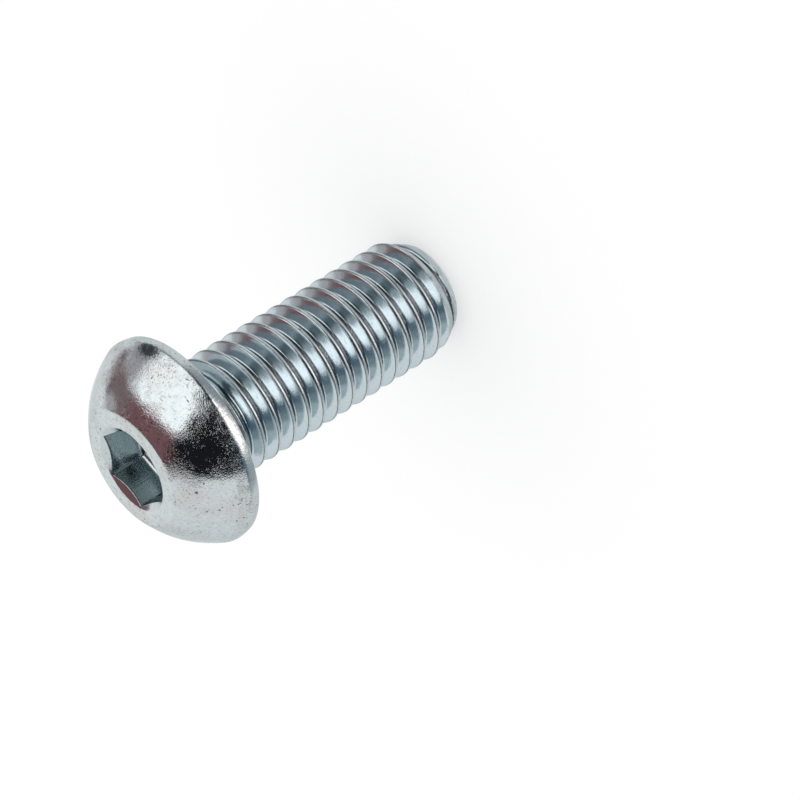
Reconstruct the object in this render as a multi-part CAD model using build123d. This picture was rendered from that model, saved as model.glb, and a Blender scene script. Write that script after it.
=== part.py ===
from build123d import *
from math import ceil, cos, pi, radians, sin, tan
import os

# Button head cap screw with a hexagon socket, M10 x 1.5 x 25, cold headed and rolled in one piece.
# Sizes are in millimetres and angles in degrees. The screw is drawn along its own axis first: z is
# 0 at the bearing face under the head, the head is below that and the shank above it, and turns are
# counted from the x side. It is then turned over, to stand on the flat end of its shank.

# Thread
pitch = 1.5
major_diameter = 9.84        # over the crests, a little under the nominal 10
crest_width = 0.265          # of the flat on the crest
root_width = 0.265           # of the flat at the foot of the groove
flank_angle = 60.0           # between the two flanks of a groove
crest_height = 0.46          # of the first crest, on the x side
facets_per_turn = 30         # flat facets that make up each turn of the thread

# Shank
shank_length = 24.8
neck_diameter = 9.0          # the blank that the thread was rolled on
neck_length = 1.9
neck_flare = 0.35            # bevel where the neck meets the bearing face
crest_fade = 1.2             # length over which the crests rise out of the neck
root_fade = 2.0              # length over which the roots sink below the neck
tip_chamfer = 2.05
tip_diameter = 7.6

# Head
head_diameter = 17.3
head_height = 5.2
rim_height = 0.9
rim_bevel = 0.12             # on the upper edge of the rim
flat_top_diameter = 9.9

# Socket
hexagon_across_flats = 6.02
socket_depth = 3.2           # from the flat top to the foot of the walls
socket_point = 0.55          # depth of the shallow cone below the walls
mouth_diameter = 7.2         # of the 90 degree countersink
hexagon_turn = -23.1         # from the x side to a corner of the hexagon

overlap = 0.12               # how far pieces that are fused or trimmed run past each other

major_radius = major_diameter / 2
flank_slope = tan(radians(flank_angle / 2))
groove_depth = (pitch - crest_width - root_width) / 2 / flank_slope
root_radius = major_radius - groove_depth
neck_radius = neck_diameter / 2
head_radius = head_diameter / 2
tip_radius = tip_diameter / 2
flat_top_radius = flat_top_diameter / 2
mouth_radius = mouth_diameter / 2
hexagon_inradius = hexagon_across_flats / 2
chamfer_start = shank_length - tip_chamfer


def turned(*outline):
    """A solid turned about the axis from its half section, given as (radius, z) lines and arcs."""
    return revolve(Plane.XZ * make_face(outline), Axis.Z)


def ridge_half_width(radius):
    """Half the axial width of the thread's ridge at a radius: half the crest, and the flank's share."""
    return crest_width / 2 + (major_radius - radius) * flank_slope


def ridge_section(step):
    """The ridge's trapezoid in the plane through the axis, so many facets along the right hand helix."""
    angle = 2 * pi * step / facets_per_turn
    middle = crest_height + pitch * step / facets_per_turn
    foot = root_radius - overlap
    corners = [
        (foot, middle - ridge_half_width(foot)),
        (major_radius, middle - ridge_half_width(major_radius)),
        (major_radius, middle + ridge_half_width(major_radius)),
        (foot, middle + ridge_half_width(foot)),
    ]
    points = [(radius * cos(angle), radius * sin(angle), z) for radius, z in corners]
    return Wire.make_polygon(points, close=True)


def threaded_rod():
    """Core and ridge, trimmed to the run-out under the head and to the chamfered tip."""
    steps = ceil((shank_length + pitch) / pitch * facets_per_turn)
    ridge = Solid.make_loft([ridge_section(step) for step in range(steps)], ruled=True)
    core = extrude(RegularPolygon(root_radius, facets_per_turn), shank_length + pitch)
    fade_start = neck_length - crest_fade / 2
    outer = major_radius + overlap
    chamfer_steepness = tip_chamfer / (major_radius - tip_radius)
    envelope = turned(
        Polyline(
            (0, fade_start),
            (neck_radius - overlap, fade_start),
            (outer, fade_start + crest_fade),
            (outer, chamfer_start - overlap * chamfer_steepness),
            (tip_radius, shank_length),
            (0, shank_length),
            close=True,
        )
    )
    return core.fuse(ridge) & envelope


def dome():
    """The crown of the head: part of a ball centred on the axis, from the flat top to the rim."""
    rim_top = (head_radius - rim_bevel, -rim_height)
    drop = rim_top[1] + head_height
    centre = (rim_top[0] ** 2 - flat_top_radius ** 2 + drop ** 2) / (2 * drop) - head_height
    ball_radius = (flat_top_radius ** 2 + (head_height + centre) ** 2) ** 0.5
    return RadiusArc((flat_top_radius, -head_height), rim_top, -ball_radius)


def head_and_neck():
    """Domed head with a flat top and a narrow rim, the neck, and the cone that fades the roots out."""
    return turned(
        Polyline((0, -head_height), (flat_top_radius, -head_height)),
        dome(),
        Polyline(
            (head_radius - rim_bevel, -rim_height),
            (head_radius, rim_bevel - rim_height),
            (head_radius, 0),
            (neck_radius + neck_flare, 0),
            (neck_radius, neck_flare),
            (neck_radius, neck_length),
            (root_radius - overlap, neck_length + root_fade),
            (0, neck_length + root_fade),
            (0, -head_height),
        ),
    )


def socket():
    """The room for the key: six walls, the countersink at the mouth and the shallow cone at the foot."""
    top = -head_height
    foot = top + socket_depth
    hexagon = RegularPolygon(hexagon_inradius, 6, major_radius=False, rotation=hexagon_turn)
    walls = Pos(0, 0, top) * extrude(hexagon, socket_depth)
    mouth = turned(Polyline((0, top), (mouth_radius, top), (0, top + mouth_radius), close=True))
    point = turned(Polyline((0, foot), (hexagon_inradius, foot), (0, foot + socket_point), close=True))
    return walls + mouth + point


screw = Rot(180, 0, 0) * (threaded_rod() + head_and_neck() - socket())

os.makedirs("parts", exist_ok=True)
export_step(screw, "parts/button_head_screw.step")
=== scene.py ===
"""Looks of the button head screw: one closed, finely modelled skin in place of the CAD solid, zinc plated."""

import math

import bpy
import numpy as np
from mathutils import Matrix, Vector

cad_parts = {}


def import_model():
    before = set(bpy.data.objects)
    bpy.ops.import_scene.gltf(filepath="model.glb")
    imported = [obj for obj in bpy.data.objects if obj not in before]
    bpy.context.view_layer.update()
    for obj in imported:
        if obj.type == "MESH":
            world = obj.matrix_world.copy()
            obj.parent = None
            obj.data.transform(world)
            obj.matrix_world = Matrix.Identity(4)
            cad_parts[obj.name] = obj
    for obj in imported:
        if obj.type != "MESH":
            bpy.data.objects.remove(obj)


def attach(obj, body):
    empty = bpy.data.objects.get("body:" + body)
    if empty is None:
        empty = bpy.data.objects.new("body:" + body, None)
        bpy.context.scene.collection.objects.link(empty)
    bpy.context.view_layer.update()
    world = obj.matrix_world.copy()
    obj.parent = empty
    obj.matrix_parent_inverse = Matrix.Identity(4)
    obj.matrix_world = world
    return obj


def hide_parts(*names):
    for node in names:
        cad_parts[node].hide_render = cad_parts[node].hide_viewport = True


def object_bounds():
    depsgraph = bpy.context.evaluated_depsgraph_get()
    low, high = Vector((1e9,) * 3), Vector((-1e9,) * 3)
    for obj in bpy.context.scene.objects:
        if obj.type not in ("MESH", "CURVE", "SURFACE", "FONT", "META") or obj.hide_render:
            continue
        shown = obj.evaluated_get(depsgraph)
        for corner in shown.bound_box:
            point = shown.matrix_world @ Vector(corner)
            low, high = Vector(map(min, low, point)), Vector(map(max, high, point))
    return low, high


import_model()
cad_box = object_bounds()

# The screw's own sizes, in millimetres. Heights are along its axis and 0 at the bearing face under the head:
# the head is below that and the shank above it, as in the part's source.
MM = 0.001
PITCH = 1.5
MAJOR_RADIUS = 4.92
CREST_WIDTH = 0.265
ROOT_WIDTH = 0.265
FLANK_ANGLE = math.radians(60)
CREST_HEIGHT = 0.46          # of the first crest, on the x side
CREST_SOFTNESS = 0.06        # how far its edge is rounded off, as for the other softnesses
ROOT_SOFTNESS = 0.06
SEAM_PLACE = -0.09           # of the fold that rolling leaves, off the middle of the crest
SEAM_DEPTH = 0.04
SEAM_HALF_WIDTH = 0.035
SEAM_WAVES = [(0.37, 0.0, 0.2), (1.13, 1.0, 0.25), (2.9, 0.0, 0.15)]   # (rate, phase, share of its depth)
SHANK_LENGTH = 24.8
NECK_RADIUS = 4.5
NECK_LENGTH = 1.9
NECK_FILLET = 0.35
CREST_FADE = 1.2             # length along which the crests rise out of the neck
ROOT_FADE = 2.0              # and the roots sink below it
FADE_OVERLAP = 0.12          # how far below the neck's surface the fades begin and end
CREST_FADE_SOFTNESS = 0.05
ROOT_FADE_SOFTNESS = 0.04
TIP_CHAMFER = 2.05
TIP_CHAMFER_SOFTNESS = 0.02
TIP_RADIUS = 3.8
TIP_ROUNDING = 0.16
TIP_ROUNDING_INSET = 0.12    # of the rounding's middle, from where the chamfer would end
HEAD_RADIUS = 8.65
HEAD_HEIGHT = 5.2
RIM_HEIGHT = 0.9
RIM_ROUNDED_SHARE = 0.2      # of its height, in which the dome turns down into it
RIM_TURN_EXPONENT = 0.7      # below 1 the rim turns most at the top of each of its two stretches
RIM_DRAFT = math.radians(13) # by which the rim leans in at the bearing face
RIM_EDGE_BREAK = 0.04        # of the edge at the bearing face
FLAT_TOP_RADIUS = 4.95
FLAT_TOP_ROUNDING = 0.6
HEXAGON_INRADIUS = 3.01
HEXAGON_TURN = math.radians(-23.1)
CORNER_RADIUS = 0.16         # of the upright corners of the socket
SOCKET_DEPTH = 3.2
SOCKET_POINT = 0.55
SOCKET_FOOT_ROUNDING = 0.5
MOUTH_RADIUS = 3.6
MOUTH_LEAN = math.radians(30) # of the countersink, from the flat top
MOUTH_EDGE_ROUNDING = 0.07

FLANK_SLOPE = math.tan(FLANK_ANGLE / 2)
GROOVE_DEPTH = (PITCH - CREST_WIDTH - ROOT_WIDTH) / 2 / FLANK_SLOPE
ROOT_RADIUS = MAJOR_RADIUS - GROOVE_DEPTH
CHAMFER_STEEPNESS = TIP_CHAMFER / (MAJOR_RADIUS - TIP_RADIUS)

# The plating of each stretch, 0 for none and 1 for plenty: how grainy and pitted it is, how dull, how much
# it is streaked along the axis, how much painted shade darkens it and turns it greener, how dirty it is along
# with painted shade that turns it nearly black, and how blue. The painted shade sits mostly in the crests'
# seam, the thread's roots and the socket, and the rim, mouth and tip get some too.
FINISH_TRAITS = ("grain", "dull", "streaks", "painted_shade", "dirt_and_shade", "blue")
FINISH = {
    "thread": (0.3, 0.27, 0.0, 0.0, 0.0, 1.0),
    "crest": (1.0, 0.6, 0.0, 0.1, 0.1, 0.6),
    "seam": (0.6, 0.7, 0.0, 1.0, 1.0, 1.0),
    "root": (0.3, 0.5, 0.0, 0.8, 0.85, 1.0),
    "tip": (1.0, 0.9, 0.0, 0.7, 0.2, 0.6),
    "head": (1.0, 0.0, 0.0, 0.0, 0.0, 0.0),
    "shoulder": (1.5, 0.1, 0.0, 0.1, 0.0, 0.0),
    "rim": (0.8, 0.4, 1.0, 0.3, 0.0, 0.0),
    "bearing": (0.5, 0.6, 0.0, 0.0, 0.0, 0.5),
    "mouth": (0.4, 0.1, 0.0, 0.3, 0.0, 0.0),
    "socket": (0.1, 0.3, 1.0, 0.7, 0.0, 0.2),
}
CREST_FINISH_REACH = 0.15    # from the middle of the crest
ROOT_FINISH_REACH = 0.12     # from the middle of the root
TIP_FINISH_REACH = 0.05      # above the cone of the tip
RIM_FINISH_HEIGHT = 0.765    # of the rim, whose topmost edge is finished as the shoulder is
SHOULDER_HEIGHT = 1.7        # of the lower dome, where knocks land

# Dirt that has stayed on the shoulder: its angle in degrees and its height, and how far it reaches in both
SMUDGE_PLACE = (-25.0, -1.2)
SMUDGE_REACH = (10.0, 0.65)

# The largest pits: angle in degrees, radius, height and size
PITS = [(67.4, 6.38, -4.09, 0.15), (61.3, 6.86, -3.6, 0.09), (-73.0, 3.92, -5.2, 0.1)]

# Colours of the plating: bare in two shades, then where it is scuffed, blue, painted darker and greener as
# shade, stained, dirty or painted nearly black as shade, or marked
ZINC = (0.59, 0.635, 0.645, 1)
OTHER_ZINC = (0.55, 0.61, 0.64, 1)
SCUFFED_ZINC = (0.55, 0.575, 0.575, 1)
BLUE_ZINC = (0.535, 0.62, 0.65, 1)
# painted shade, darker and greener, for the socket, the thread's roots and seam
PAINTED_SHADE_ZINC = (0.45, 0.515, 0.525, 1)
STAINED_ZINC = (0.36, 0.37, 0.37, 1)
# for dirt, and for nearly black painted shade in the thread's seam and roots
DIRT_AND_SHADE_ZINC = (0.09, 0.11, 0.12, 1)
MARKED_ZINC = (0.12, 0.125, 0.13, 1)
GRAZING_TINT = (0.72, 0.76, 0.78, 1)

# Depths of its relief
LUMP_DEPTH = 0.002
PEEL_DEPTH = 0.015
KNOCK_DEPTH = 0.006
SPARK_DEPTH = 0.009
STREAK_DEPTH = 0.009

# Fineness of the skin
SHANK_COLUMNS = 120          # around the axis
HEAD_COLUMNS = 2 * SHANK_COLUMNS
STRIP_START = 1.1            # where the helical strip of the thread meets the plain neck
STRIP_END = 24.56            # and the plain cone of the tip
PLAIN_MARGIN = 0.3           # of plain neck at the strip's start
NEAREST_ROW = 0.02           # from an end of the strip, closer than which a row is the end itself
DOME_RINGS = 40
ROUNDING_RINGS = 6
SHARP_ANGLE = math.radians(38)

# Rows of the strip, by their distance from the middle of a crest, closer together where the form turns
CREST_TO_ROOT = [0, 0.03, 0.06, 0.095, 0.125, 0.15, 0.19, 0.25, 0.33, 0.42, 0.5, 0.56, 0.61, 0.66, 0.71]

# Rings of the rim, by their share of the way from the dome to the bearing face
RIM_SHARES = [0, 0.03, 0.07, 0.12, 0.18, 0.26, 0.38, 0.52, 0.68, 0.84, 1.0]


def standing_matrix():
    """From the screw's own axes, in millimetres, to the frame: drawn head down, it stands head up."""
    return Matrix.Rotation(math.pi, 4, "X") @ Matrix.Scale(MM, 4)


class Skin:
    """Rings and strips of vertices that are joined into one closed mesh."""

    def __init__(self):
        self.points = []
        self.faces = []
        self.finishes = []
        self.finish = FINISH["thread"]      # of what is added next
        self.count = 0

    def add(self, radius, angle, height):
        """Adds points given as arrays of radius, angle and height, and returns their numbers."""
        radius, angle, height = np.broadcast_arrays(radius, angle, height)
        flat = np.stack([radius * np.cos(angle), radius * np.sin(angle), height], axis=-1)
        self.points.append(flat.reshape(-1, 3))
        self.finishes.append(np.broadcast_to(self.finish, (radius.size, len(FINISH_TRAITS))))
        numbers = np.arange(radius.size).reshape(radius.shape) + self.count
        self.count += radius.size
        return numbers

    def next_ring(self, ring, radius, angle, height, upward):
        """Adds a ring above the last one or below it and joins the two. Returns its numbers."""
        added = self.add(radius, angle, height)
        if upward:
            self.join(ring, added)
        else:
            self.join(added, ring)
        return added

    def join(self, lower, upper):
        """Quads between a ring and the one above it."""
        for a, b, c, d in zip(lower, np.roll(lower, -1), np.roll(upper, -1), upper):
            self.face(a, b, c, d)

    def refine(self, fine, coarse):
        """Triangles between a ring and the one above it, which has half as many vertices."""
        size = len(coarse)
        for i in range(size):
            here, after = coarse[i], coarse[(i + 1) % size]
            left, middle, right = fine[2 * i], fine[2 * i + 1], fine[(2 * i + 2) % (2 * size)]
            self.face(left, middle, here)
            self.face(middle, after, here)
            self.face(middle, right, after)

    def fan(self, ring, centre, upward):
        """Closes a ring with triangles to one vertex."""
        for a, b in zip(ring, np.roll(ring, -1)):
            if upward:
                self.face(a, b, centre)
            else:
                self.face(b, a, centre)

    def face(self, *corners):
        """One face, without corners that repeat, unless too few are left."""
        kept = [corner for i, corner in enumerate(corners) if corner != corners[i - 1]]
        if len(set(kept)) >= 3:
            self.faces.append([int(corner) for corner in kept])


def columns(count):
    """Angles of the skin's columns, with one of them on a corner of the hexagon."""
    step = 2 * math.pi / SHANK_COLUMNS
    return (HEXAGON_TURN % step) + np.arange(count) * 2 * math.pi / count


def thread_stations():
    """Heights of the strip's rows over one pitch, from the middle of a crest."""
    near = np.array(CREST_TO_ROOT)
    return np.concatenate([near, [PITCH / 2], PITCH - near[:0:-1]])


def soft_min(a, b, softness):
    """The smaller of two, rounded off where they cross."""
    return (a + b - np.sqrt((a - b) ** 2 + softness ** 2)) / 2


def soft_max(a, b, softness):
    """The larger of two, rounded off where they cross."""
    return (a + b + np.sqrt((a - b) ** 2 + softness ** 2)) / 2


def bell(off, reach, power=2):
    """1 in the middle, falling to 0 past the reach. A higher power makes it flatter and steeper."""
    return np.exp(-(off / reach) ** power)


def off_seam(station):
    """Distance from the middle of the seam."""
    return np.where(station > PITCH / 2, station - PITCH, station) - SEAM_PLACE


def cone_radius(height):
    """Radius of the chamfer at the tip."""
    return TIP_RADIUS + (SHANK_LENGTH - height) / CHAMFER_STEEPNESS


def thread_radius(station, height, along):
    """Radius of the threaded shank, which rises out of the neck and is cut off by the chamfer at the tip.

    The station is the height above the crest below, and along is the angle wound up along the helix.
    """
    flank = MAJOR_RADIUS - (np.minimum(station, PITCH - station) - CREST_WIDTH / 2) / FLANK_SLOPE
    radius = soft_min(MAJOR_RADIUS, flank, CREST_SOFTNESS)
    radius = soft_max(ROOT_RADIUS, radius, ROOT_SOFTNESS)
    waviness = sum(share * np.sin(along * rate + phase) for rate, phase, share in SEAM_WAVES)
    radius = radius - SEAM_DEPTH * (1 + waviness) * bell(off_seam(station), SEAM_HALF_WIDTH)

    rise = (MAJOR_RADIUS - NECK_RADIUS + 2 * FADE_OVERLAP) / CREST_FADE
    crest_limit = NECK_RADIUS - FADE_OVERLAP + (height - NECK_LENGTH + CREST_FADE / 2) * rise
    sink = (NECK_RADIUS - ROOT_RADIUS + FADE_OVERLAP) / ROOT_FADE
    root_limit = NECK_RADIUS - np.maximum(height - NECK_LENGTH, 0) * sink
    radius = soft_min(radius, crest_limit, CREST_FADE_SOFTNESS)
    radius = soft_min(radius, cone_radius(height), TIP_CHAMFER_SOFTNESS)
    radius = soft_max(radius, root_limit, ROOT_FADE_SOFTNESS)
    radius = np.where(height < STRIP_START + PLAIN_MARGIN, NECK_RADIUS, radius)
    past_fades = height > NECK_LENGTH + ROOT_FADE
    return np.where(past_fades, np.minimum(radius, cone_radius(height)), radius)


def thread_finish(station, height, radius):
    """The plating of each point of the threaded shank."""
    off_crest = np.minimum(station, PITCH - station)
    # The seam's and the root's shares bring painted shade into the crests' fold and the thread's roots.
    shares = {
        "crest": bell(off_crest, CREST_FINISH_REACH, 4),
        "seam": bell(off_seam(station), SEAM_HALF_WIDTH, 4),
        "root": bell(PITCH / 2 - off_crest, ROOT_FINISH_REACH, 4),
        "tip": bell(cone_radius(height) - radius, TIP_FINISH_REACH),
    }
    finish = np.broadcast_to(FINISH["thread"], radius.shape + (len(FINISH_TRAITS),))
    for name, share in shares.items():
        finish = finish + (FINISH[name] - finish) * np.broadcast_to(share, radius.shape)[..., None]
    return finish


def thread_strip(skin):
    """The threaded shank, whose rows follow the helix. Returns its lowest and highest rings."""
    stations = thread_stations()
    turns = np.arange(-2, math.ceil(SHANK_LENGTH / PITCH) + 1)      # past both ends of the shank
    angle = columns(SHANK_COLUMNS)[:, None]
    turn = np.repeat(turns, len(stations))[None, :]
    station = np.tile(stations, len(turns))[None, :]
    height = CREST_HEIGHT + PITCH * (turn + angle / (2 * math.pi)) + station
    along = angle + 2 * math.pi * np.round((height - CREST_HEIGHT) / PITCH - angle / (2 * math.pi))
    radius = thread_radius(station, height, along)
    finish = thread_finish(station, height, radius)

    low_ring = skin.add(NECK_RADIUS, angle[:, 0], STRIP_START)
    high_ring = skin.add(cone_radius(STRIP_END), angle[:, 0], STRIP_END)
    low = height <= STRIP_START + NEAREST_ROW
    high = height >= STRIP_END - NEAREST_ROW
    inside = ~(low | high)
    numbers = np.where(low, low_ring[:, None], np.where(high, high_ring[:, None], 0))
    skin.finish = finish[inside]
    numbers[inside] = skin.add(radius[inside], np.broadcast_to(angle, height.shape)[inside], height[inside])

    # The last column meets the first one a turn further up.
    beyond = np.concatenate([numbers[0, len(stations):], np.repeat(high_ring[0], len(stations))])
    around = np.concatenate([numbers, beyond[None, :]])
    for here, after in zip(around[:-1], around[1:]):
        for corners in zip(here[:-1], after[:-1], after[1:], here[1:]):
            skin.face(*corners)
    return low_ring, high_ring


def tip(skin, ring):
    """Rounded edge and flat end of the shank."""
    angle = columns(SHANK_COLUMNS)
    slant = math.atan2(MAJOR_RADIUS - TIP_RADIUS, TIP_CHAMFER)
    for step in range(1, 6):
        lean = slant + (math.pi / 2 - slant) * step / 5
        radius = TIP_RADIUS - TIP_ROUNDING_INSET + TIP_ROUNDING * math.cos(lean)
        height = SHANK_LENGTH - TIP_ROUNDING + TIP_ROUNDING * math.sin(lean)
        ring = skin.next_ring(ring, radius, angle, height, upward=True)
    for share in (0.9, 0.7, 0.45, 0.2):
        ring = skin.next_ring(ring, TIP_RADIUS * share, angle, SHANK_LENGTH, upward=True)
    centre = skin.add(0, 0, SHANK_LENGTH)
    skin.fan(ring, int(centre), upward=True)


def rim_profile(dome_lean):
    """(radius, height) from the dome to the bearing face: rounded off, then slightly drafted, as forged."""
    share = np.array(RIM_SHARES)
    height = -RIM_HEIGHT + share * (RIM_HEIGHT - RIM_EDGE_BREAK)
    upright = math.pi / 2
    rounded = share / RIM_ROUNDED_SHARE
    drafted = (share - RIM_ROUNDED_SHARE) / (1 - RIM_ROUNDED_SHARE)
    lean = np.where(share < RIM_ROUNDED_SHARE,
                    dome_lean + (upright - dome_lean) * rounded ** RIM_TURN_EXPONENT,
                    upright + RIM_DRAFT * np.maximum(drafted, 0) ** RIM_TURN_EXPONENT)
    slope = 1 / np.tan(lean)
    rise = np.concatenate([[0], np.cumsum(np.diff(height) * (slope[1:] + slope[:-1]) / 2)])
    return np.stack([HEAD_RADIUS + rise - rise.max(), height], axis=-1)


def dome_and_rim():
    """The rim's profile, and of the dome: its lean where the rim starts, its ball's radius and middle."""
    rise = HEAD_HEIGHT - RIM_HEIGHT
    lean = math.radians(68)                 # a first guess, which the rounds settle
    for _ in range(4):
        rim = rim_profile(lean)
        rim_top = rim[0, 0]
        centre = (rim_top ** 2 - FLAT_TOP_RADIUS ** 2 + rise ** 2) / (2 * rise) - HEAD_HEIGHT
        lean = math.atan2(rim_top, RIM_HEIGHT + centre)
    return rim, lean, math.hypot(FLAT_TOP_RADIUS, HEAD_HEIGHT + centre), centre


def head_outline():
    """(radius, height) of the rings from the neck over the bearing face, rim and dome to the mouth."""
    outline = []
    for step in range(ROUNDING_RINGS + 1):
        lean = math.pi / 2 * step / ROUNDING_RINGS
        radius = NECK_RADIUS + NECK_FILLET * (1 - math.cos(lean))
        outline.append((radius, NECK_FILLET * (1 - math.sin(lean))))

    rim, dome_lean, ball, centre = dome_and_rim()
    start = NECK_RADIUS + NECK_FILLET
    edge = rim[-1, 0] - RIM_EDGE_BREAK
    outline += [(start + (edge - start) * share, 0) for share in (0.1, 0.3, 0.5, 0.7, 0.9, 0.98, 1)]
    outline.append((edge + RIM_EDGE_BREAK * 0.7, -RIM_EDGE_BREAK * 0.3))       # half way round the edge
    outline += [tuple(point) for point in rim[::-1]]

    inner_ball = ball - FLAT_TOP_ROUNDING
    top_lean = math.acos((HEAD_HEIGHT + centre - FLAT_TOP_ROUNDING) / inner_ball)
    for step in range(1, DOME_RINGS + 1):
        lean = dome_lean + (top_lean - dome_lean) * step / DOME_RINGS
        outline.append((ball * math.sin(lean), centre - ball * math.cos(lean)))
    flat_radius = inner_ball * math.sin(top_lean)
    for step in range(1, ROUNDING_RINGS + 1):
        lean = top_lean * (1 - step / ROUNDING_RINGS)
        outline.append((flat_radius + FLAT_TOP_ROUNDING * math.sin(lean),
                        FLAT_TOP_ROUNDING * (1 - math.cos(lean)) - HEAD_HEIGHT))
    outline += [(flat_radius + (MOUTH_RADIUS - flat_radius) * share, -HEAD_HEIGHT)
                for share in (0.1, 0.35, 0.6, 0.8, 0.96)]
    return outline


def hexagon_radius(angle):
    """Distance from the axis to the socket's wall, whose upright corners are rounded."""
    off_corner = (angle - HEXAGON_TURN + math.pi / 6) % (math.pi / 3) - math.pi / 6
    off_flat = math.pi / 6 - np.abs(off_corner)
    plain = HEXAGON_INRADIUS / np.cos(off_flat)
    centre = (HEXAGON_INRADIUS - CORNER_RADIUS) / math.cos(math.pi / 6)
    along = centre * np.cos(off_corner)
    round_corner = along + np.sqrt(np.maximum(CORNER_RADIUS ** 2 - (centre * np.sin(off_corner)) ** 2, 0))
    tangent = centre * math.sin(math.pi / 6)
    in_corner = plain * np.sin(off_flat) > tangent
    return np.where(in_corner, np.minimum(plain, round_corner), plain)


def socket_profile():
    """(radius, depth) of the socket's rings from its mouth down. Each radius has a value per column."""
    wall = hexagon_radius(columns(HEAD_COLUMNS))
    lip = MOUTH_RADIUS - wall
    slope = math.tan(MOUTH_LEAN)
    profile = [(MOUTH_RADIUS - lip * share, lip * share * slope) for share in (0.08, 0.3, 0.6, 0.8)]

    leans = [(math.pi / 2 - MOUTH_LEAN) * step / 4 for step in range(4, -1, -1)]
    inset = MOUTH_EDGE_ROUNDING * (1 - math.cos(leans[0]))
    edge = (lip - inset) * slope + MOUTH_EDGE_ROUNDING * math.sin(leans[0])
    profile += [(wall + MOUTH_EDGE_ROUNDING * (1 - math.cos(lean)),
                 edge - MOUTH_EDGE_ROUNDING * math.sin(lean)) for lean in leans]

    foot = SOCKET_DEPTH - SOCKET_FOOT_ROUNDING
    profile += [(wall, edge + (foot - edge) * share) for share in (0.1, 0.25, 0.4, 0.55, 0.7, 0.85, 1)]
    for step in range(1, 9):
        lean = math.pi / 2 * step / 8
        profile.append((wall - SOCKET_FOOT_ROUNDING * (1 - math.cos(lean)),
                        foot + SOCKET_FOOT_ROUNDING * math.sin(lean)))
    inner = wall - SOCKET_FOOT_ROUNDING
    profile += [(inner * share, SOCKET_DEPTH + SOCKET_POINT * (1 - share))
                for share in (0.95, 0.85, 0.65, 0.45, 0.3, 0.15, 0.05)]
    return profile


def socket(skin, ring):
    """Countersunk mouth, six walls, and the foot: rounded into the walls, and a shallow cone."""
    angle = columns(HEAD_COLUMNS)
    mouth_depth = (MOUTH_RADIUS - hexagon_radius(angle)) * math.tan(MOUTH_LEAN)
    for radius, depth in socket_profile():
        # The socket's walls and foot get more painted shade than its mouth.
        skin.finish = FINISH["socket" if np.all(depth > mouth_depth) else "mouth"]
        ring = skin.next_ring(ring, radius, angle, depth - HEAD_HEIGHT, upward=False)
    centre = skin.add(0, 0, SOCKET_DEPTH + SOCKET_POINT - HEAD_HEIGHT)
    skin.fan(ring, int(centre), upward=False)


class Shading:
    """Short names for the shader nodes that the materials are made of."""

    def __init__(self, name):
        self.material = bpy.data.materials.new(name)
        self.material.use_nodes = True
        self.nodes = self.material.node_tree.nodes
        self.links = self.material.node_tree.links

    def put(self, socket, value):
        """Sets a socket, or links it to the output that makes its value."""
        if isinstance(value, bpy.types.NodeSocket):
            self.links.new(value, socket)
        else:
            socket.default_value = value

    def noise(self, place, size, detail=2.0, roughness=0.5):
        """Noise whose features are about that size in millimetres."""
        node = self.nodes.new("ShaderNodeTexNoise")
        self.put(node.inputs["Vector"], place)
        self.put(node.inputs["Scale"], 1 / (size * MM))
        self.put(node.inputs["Detail"], detail)
        self.put(node.inputs["Roughness"], roughness)
        return node.outputs["Fac"]

    def cells(self, place, size):
        """Distance to the nearest of points strewn about that many millimetres apart."""
        node = self.nodes.new("ShaderNodeTexVoronoi")
        self.put(node.inputs["Vector"], place)
        self.put(node.inputs["Scale"], 1 / (size * MM))
        return node.outputs["Distance"]

    def stretched(self, place, turn, scale):
        """The place turned, then scaled, which draws a pattern out along the axes whose scale is below 1."""
        node = self.nodes.new("ShaderNodeMapping")
        self.put(node.inputs["Vector"], place)
        self.put(node.inputs["Rotation"], turn)
        self.put(node.inputs["Scale"], scale)
        return node.outputs["Vector"]

    def near(self, place, point, reach):
        """1 close to the point, a vector in metres, and 0 past the reach, in millimetres from it."""
        node = self.nodes.new("ShaderNodeVectorMath")
        node.operation = "DISTANCE"
        self.put(node.inputs[0], place)
        self.put(node.inputs[1], point)
        return self.step(node.outputs["Value"], reach * MM, reach * MM * 0.6)

    def attribute(self, name):
        """A value that each vertex of the skin has."""
        node = self.nodes.new("ShaderNodeAttribute")
        node.attribute_name = name
        return node.outputs["Fac"]

    def math(self, operation, *values):
        """One operation on numbers or outputs."""
        node = self.nodes.new("ShaderNodeMath")
        node.operation = operation
        for socket, value in zip(node.inputs, values):
            self.put(socket, value)
        return node.outputs[0]

    def weigh(self, *terms, base=0.0):
        """Sum of the base and of values times their weights."""
        total = base
        for value, weight in terms:
            total = self.math("MULTIPLY_ADD", value, weight, total)
        return total

    def step(self, value, start, end):
        """Rises smoothly from 0 to 1 as the value goes from start to end."""
        node = self.nodes.new("ShaderNodeMapRange")
        node.interpolation_type = "SMOOTHSTEP"
        self.put(node.inputs["Value"], value)
        self.put(node.inputs["From Min"], start)
        self.put(node.inputs["From Max"], end)
        return node.outputs["Result"]

    def blend(self, share, low, high):
        """Colours or numbers, mixed by share."""
        node = self.nodes.new("ShaderNodeMix")
        colours = isinstance(high, tuple)
        node.data_type = "RGBA" if colours else "FLOAT"
        first, second = ("A_Color", "B_Color") if colours else ("A_Float", "B_Float")
        named = {socket.identifier: socket for socket in node.inputs}
        self.put(named["Factor_Float"], share)
        self.put(named[first], low)
        self.put(named[second], high)
        outputs = {socket.identifier: socket for socket in node.outputs}
        return outputs["Result_Color" if colours else "Result_Float"]

    def bump(self, height, depth, normal=None):
        """Depth in millimetres for a height that goes from 0 to 1."""
        node = self.nodes.new("ShaderNodeBump")
        self.put(node.inputs["Distance"], depth * MM)
        self.put(node.inputs["Height"], height)
        if normal is not None:
            self.links.new(normal, node.inputs["Normal"])
        return node.outputs["Normal"]


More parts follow.
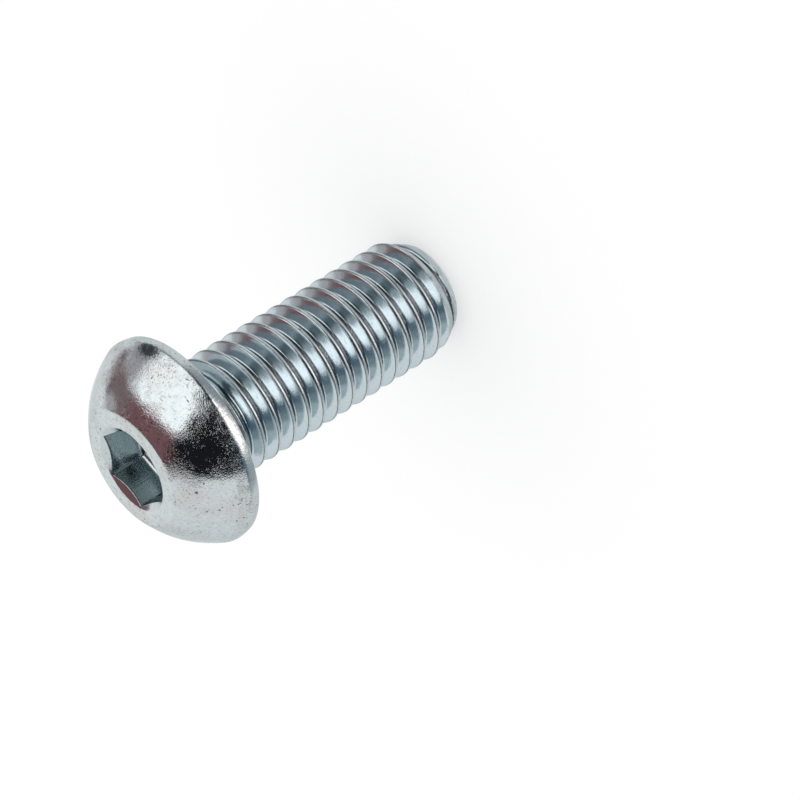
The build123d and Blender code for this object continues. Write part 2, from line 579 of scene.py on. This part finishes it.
def pitting(zinc, place, scuffed):
    """Small pits where it is scuffed, and the largest ones in their own places."""
    pits = zinc.math("MULTIPLY", zinc.step(zinc.cells(place, size=0.7), 0.14, 0.06), scuffed)
    for angle, radius, height, size in PITS:
        turn = math.radians(angle)
        point = standing_matrix() @ Vector((radius * math.cos(turn), radius * math.sin(turn), height))
        pits = zinc.math("MAXIMUM", pits, zinc.near(place, point, size))
    return pits


def scratching(zinc, place, grain):
    """Short scratches in two directions."""
    along = zinc.stretched(place, (0.3, 0.5, 0.4), (1.0, 0.14, 0.35))
    across = zinc.stretched(place, (1.1, 0.2, 1.9), (1.0, 0.2, 0.5))
    scratches = zinc.math("MAXIMUM", zinc.step(zinc.noise(along, size=0.09, detail=1.0), 0.70, 0.76),
                          zinc.step(zinc.noise(across, size=0.09, detail=1.0), 0.70, 0.76))
    return zinc.math("MULTIPLY", scratches, grain)


def zinc_plate():
    """Bright zinc with a pale blue passivation: like a mirror, but grainy, pitted, and scuffed by knocks,
    with painted shade in its grooves and socket.
    """
    zinc = Shading("zinc_plated_steel")
    shader = zinc.nodes["Principled BSDF"]
    place = zinc.nodes.new("ShaderNodeTexCoord").outputs["Object"]
    grain, dull, streaks, painted_shade, dirt_and_shade, blue = (zinc.attribute(trait) for trait in FINISH_TRAITS)

    fine = zinc.noise(place, size=0.13, roughness=0.65)
    lumps = zinc.noise(place, size=0.5)
    areas = zinc.noise(place, size=2.3, detail=3.0, roughness=0.6)
    scuffed = zinc.math("MULTIPLY", zinc.step(areas, 0.42, 0.6), grain)
    specks = zinc.step(zinc.noise(place, size=0.16, detail=3.0, roughness=0.75), 0.6, 0.67)
    specks = zinc.math("MULTIPLY", specks, zinc.weigh((grain, 0.3), (scuffed, 0.7)))
    sparks = zinc.step(zinc.noise(place, size=0.12, roughness=0.7), 0.62, 0.72)
    sparks = zinc.math("MULTIPLY", sparks, zinc.weigh((grain, 0.2), (scuffed, 0.6)))
    stains = zinc.step(zinc.noise(place, size=0.3, detail=3.0, roughness=0.65), 0.5, 0.72)
    stains = zinc.math("MULTIPLY", stains, zinc.math("MULTIPLY", grain, 0.5))
    lines = zinc.noise(zinc.stretched(place, (0, 0, 0), (1.0, 1.0, 0.05)), size=0.22, roughness=0.6)
    pits = pitting(zinc, place, scuffed)
    scratches = scratching(zinc, place, grain)

    tint = zinc.blend(zinc.step(lumps, 0.35, 0.65), ZINC, OTHER_ZINC)
    tint = zinc.blend(scuffed, tint, SCUFFED_ZINC)
    tint = zinc.blend(blue, tint, BLUE_ZINC)
    # Painted shade, darker and greener: most in the socket, the thread's roots and seam, some on the rim,
    # mouth and tip.
    tint = zinc.blend(painted_shade, tint, PAINTED_SHADE_ZINC)
    tint = zinc.blend(stains, tint, STAINED_ZINC)
    # Nearly black, broken up by fine noise: dirt on the shoulder's smudge, and painted shade in the thread's
    # seam and roots.
    tint = zinc.blend(zinc.step(zinc.weigh((fine, 1.4), base=dirt_and_shade), 1.1, 1.45), tint, DIRT_AND_SHADE_ZINC)
    marks = zinc.math("MAXIMUM", zinc.math("MULTIPLY", specks, 0.5), zinc.math("MAXIMUM", pits, scratches))
    zinc.put(shader.inputs["Base Color"], zinc.blend(marks, tint, MARKED_ZINC))
    shader.inputs["Metallic"].default_value = 1.0
    shader.inputs["Specular Tint"].default_value = GRAZING_TINT
    polish = zinc.blend(fine, 0.02, 0.07)
    zinc.put(shader.inputs["Roughness"], zinc.weigh((scuffed, 0.06), (dull, 0.4), base=polish))

    peel = zinc.math("MULTIPLY", fine, zinc.weigh((grain, 0.5), (scuffed, 0.8), base=0.1))
    knocks = zinc.math("MAXIMUM", pits, zinc.math("MULTIPLY", specks, scuffed))
    normal = zinc.bump(lumps, LUMP_DEPTH)
    normal = zinc.bump(peel, PEEL_DEPTH, normal)
    normal = zinc.bump(zinc.math("SUBTRACT", 1.0, knocks), KNOCK_DEPTH, normal)
    normal = zinc.bump(sparks, SPARK_DEPTH, normal)
    normal = zinc.bump(zinc.math("MULTIPLY", lines, streaks), STREAK_DEPTH, normal)
    zinc.put(shader.inputs["Normal"], normal)
    return zinc.material


def head_finish(angle, height):
    """The plating of a ring of the head, with the smudge on it."""
    if height > -RIM_FINISH_HEIGHT:
        name = "rim"
    else:
        name = "shoulder" if height > -SHOULDER_HEIGHT else "head"
    finish = np.tile(FINISH[name], (len(angle), 1))
    around = (np.degrees(angle) - SMUDGE_PLACE[0] + 180) % 360 - 180
    off = np.hypot(around / SMUDGE_REACH[0], (height - SMUDGE_PLACE[1]) / SMUDGE_REACH[1])
    finish[:, FINISH_TRAITS.index("dirt_and_shade")] += bell(off, 1)
    return finish


def screw_skin():
    """The whole screw as one closed mesh in the frame."""
    skin = Skin()
    low_ring, high_ring = thread_strip(skin)
    skin.finish = FINISH["tip"]
    tip(skin, high_ring)
    skin.finish = FINISH["bearing"]
    outline = head_outline()
    angle = columns(HEAD_COLUMNS)
    first_radius, first_height = outline[0]
    ring = skin.add(first_radius, angle, first_height)
    skin.refine(ring, low_ring)
    for radius, height in outline[1:]:
        if height < 0:
            skin.finish = head_finish(angle, height)
        ring = skin.next_ring(ring, radius, angle, height, upward=False)
    socket(skin, ring)

    mesh = bpy.data.meshes.new("button_head_screw_skin")
    mesh.from_pydata(np.concatenate(skin.points).tolist(), [], skin.faces)
    mesh.transform(standing_matrix())
    mesh.validate()
    for trait, values in zip(FINISH_TRAITS, np.concatenate(skin.finishes).T):
        attribute = mesh.attributes.new(trait, "FLOAT", "POINT")
        attribute.data.foreach_set("value", np.ascontiguousarray(values))
    mesh.shade_smooth()
    mesh.set_sharp_from_angle(angle=SHARP_ANGLE)
    screw = bpy.data.objects.new("button_head_screw_skin", mesh)
    bpy.context.scene.collection.objects.link(screw)
    return screw


screw = screw_skin()
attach(screw, "root")
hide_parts("button_head_screw")
screw.data.materials.append(zinc_plate())

# The studio is laid out in level axes, in which the screw lies on its rim and thread as in the photograph,
# with its axis along x and dropping to the tip. Camera and cards then turn with the screw to how it stands
# here. Angles are in degrees and distances in metres.
PHOTO_SLOPE = 9.4588
CAMERA_AZIMUTH = -131.988
CAMERA_ELEVATION = 57.368
CAMERA_DISTANCE = 0.311882
CAMERA_RIGHT = 0.016274      # how far the camera is slid to its right
CAMERA_UP = 0.002776         # and up
FOCAL_LENGTH = 186.05        # millimetres, as a lens has
FLOOR_REACH = 1.5
FLOOR_GREY = 0.6
FLOOR_LIFT = 0.42            # what brings that grey up to white where it is seen

# The cards that the plating mirrors: name, colour, strength, distance, and the azimuth and elevation of each
# corner seen from the screw. Where two overlap, the nearer one shows.
CARDS = [
    ("black_card", (0.015, 0.015, 0.018), 1.0, 0.25,
     [(184, 2), (264, 1), (266, 55), (250, 76), (207, 70), (195, 42)]),
    ("maroon_card", (0.24, 0.12, 0.125), 1.0, 0.28,
     [(134, 24), (144, 30), (160, 35), (191, 36), (191, -3), (165, -8), (140, -24), (134, -22)]),
    ("brown_card", (0.26, 0.185, 0.19), 1.0, 0.29,
     [(90, -15), (90, -3), (102, 0), (110, 9), (124, 17), (136, 26), (138, -20), (126, -17), (108, -17)]),
    ("dark_card_left", (0.27, 0.28, 0.29), 1.0, 0.24, [(85, 6), (97, 8), (101, 25), (86, 27)]),
    ("white_card_left", (1, 1, 1), 1.5, 0.32, [(84, 27), (134, 24), (204, 30), (208, 78), (80, 74)]),
    ("white_card_right", (1.0, 0.87, 0.85), 3.0, 0.25,
     [(303, 6), (318, 6), (334, 38), (345, 63), (316, 60), (301, 34)]),
    ("dark_card_top", (0.03, 0.045, 0.06), 1.0, 0.3,
     [(207, 70), (262, 66), (298, 62), (334, 64), (350, 60), (10, 50), (40, 46), (60, 64), (80, 82)]),
    ("grey_card_right", (0.36, 0.4, 0.43), 1.0, 0.3,
     [(332, 4), (356, 6), (30, 30), (50, 47), (350, 50), (336, 52)]),
    ("slate_card_right", (0.15, 0.23, 0.29), 1.0, 0.3, [(262, -10), (304, -10), (304, 30), (262, 34)]),
    ("slate_card_low", (0.46, 0.5, 0.53), 1.0, 0.29,
     [(262, -26), (330, -26), (328, 2), (304, 0), (304, -9), (262, -9)]),
    ("grey_card_left", (0.38, 0.4, 0.44), 1.0, 0.3,
     [(48, 44), (58, 14), (84, 5), (86, 30), (80, 52), (58, 62)]),
    ("pink_card_left", (0.5, 0.46, 0.49), 1.0, 0.31, [(80, -2), (110, 2), (118, 22), (100, 30), (84, 30)]),
    ("pale_card_low", (0.58, 0.53, 0.54), 1.0, 0.27,
     [(113, -17), (124, -18), (131, -8), (127, -2), (121, -3), (114, -9)]),
    ("warm_card_low", (1.0, 0.985, 0.965), 1.12, 0.3,
     [(62, -28), (90, -17), (126, -20), (150, -28), (160, -58), (100, -68), (55, -58)]),
]


def direction(azimuth, elevation):
    """Unit vector in the studio's axes."""
    azimuth, elevation = math.radians(azimuth), math.radians(elevation)
    flat = math.cos(elevation)
    return Vector((math.cos(azimuth) * flat, math.sin(azimuth) * flat, math.sin(elevation)))


def studio_matrix():
    """From the studio's level axes to the frame."""
    upper = direction(0, 90 - PHOTO_SLOPE)
    across = Vector((0, -1, 0))
    axis = direction(0, -PHOTO_SLOPE)
    return Matrix.Rotation(math.pi, 4, "X") @ Matrix((upper, across, axis)).to_4x4()


def make_camera():
    """Seen as the photograph sees it, and slid so that the screw falls where it does there."""
    back = direction(CAMERA_AZIMUTH, CAMERA_ELEVATION)
    right = direction(CAMERA_AZIMUTH + 90, 0)
    up = back.cross(right)
    data = bpy.data.cameras.new("camera")
    data.lens = FOCAL_LENGTH
    data.clip_start = 0.01
    camera = bpy.data.objects.new("camera", data)
    place = Matrix((right, up, back)).transposed().to_4x4()
    place.translation = back * CAMERA_DISTANCE + right * CAMERA_RIGHT + up * CAMERA_UP
    camera.matrix_world = studio_matrix() @ place
    bpy.context.scene.collection.objects.link(camera)
    bpy.context.scene.camera = camera


def glow(name, colour, strength):
    """A material that shines evenly, and that lights nothing but what mirrors it."""
    paint = Shading(name)
    paint.nodes.clear()
    emission = paint.nodes.new("ShaderNodeEmission")
    emission.inputs["Color"].default_value = (*colour, 1)
    emission.inputs["Strength"].default_value = strength
    output = paint.nodes.new("ShaderNodeOutputMaterial")
    paint.put(output.inputs["Surface"], emission.outputs[0])
    paint.material.cycles.emission_sampling = "NONE"
    return paint.material


def card(name, colour, strength, distance, corners):
    """A flat card that only reflections see."""
    corners = [direction(*corner) for corner in corners]
    facing = sum(corners, Vector()).normalized()
    places = [corner * (distance / corner.dot(facing)) for corner in corners]
    mesh = bpy.data.meshes.new(name)
    mesh.from_pydata(places, [], [range(len(places))])
    mesh.transform(studio_matrix())
    mesh.materials.append(glow(name, colour, strength))
    board = bpy.data.objects.new(name, mesh)
    board.visible_camera = False
    board.visible_diffuse = False
    board.visible_shadow = False
    board.visible_transmission = False
    bpy.context.scene.collection.objects.link(board)


def floor_paint():
    """White where it is seen. Only its plain grey lights the screw, and that takes the screw's shadow."""
    paint = Shading("white_floor")
    paint.nodes.clear()
    plain = paint.nodes.new("ShaderNodeBsdfDiffuse")
    plain.inputs["Color"].default_value = (FLOOR_GREY, FLOOR_GREY, FLOOR_GREY, 1)
    path = paint.nodes.new("ShaderNodeLightPath")
    seen = paint.math("ADD", path.outputs["Is Camera Ray"], path.outputs["Is Glossy Ray"])
    seen = paint.math("ADD", seen, path.outputs["Is Transmission Ray"])
    lift = paint.nodes.new("ShaderNodeEmission")
    paint.put(lift.inputs["Strength"], paint.math("MULTIPLY", seen, FLOOR_LIFT))
    both = paint.nodes.new("ShaderNodeAddShader")
    paint.put(both.inputs[0], plain.outputs[0])
    paint.put(both.inputs[1], lift.outputs[0])
    output = paint.nodes.new("ShaderNodeOutputMaterial")
    paint.put(output.inputs["Surface"], both.outputs[0])
    paint.material.cycles.emission_sampling = "NONE"
    return paint.material


def floor():
    """Plain floor under the screw, far wider than the view."""
    lowest = cad_box[0][2]
    corners = [(x * FLOOR_REACH, y * FLOOR_REACH, lowest) for x, y in ((-1, -1), (1, -1), (1, 1), (-1, 1))]
    mesh = bpy.data.meshes.new("floor")
    mesh.from_pydata(corners, [], [(0, 1, 2, 3)])
    mesh.materials.append(floor_paint())
    plane = bpy.data.objects.new("floor", mesh)
    plane.visible_glossy = False
    bpy.context.scene.collection.objects.link(plane)


def world():
    """Even white light from all round."""
    sky = bpy.data.worlds.new("studio")
    sky.use_nodes = True
    background = sky.node_tree.nodes["Background"]
    background.inputs["Color"].default_value = (1, 1, 1, 1)
    background.inputs["Strength"].default_value = 1.0
    bpy.context.scene.world = sky


make_camera()
floor()
world()
for name, colour, strength, distance, corners in CARDS:
    card(name, colour, strength, distance, corners)
bpy.context.scene.view_settings.view_transform = "Standard"
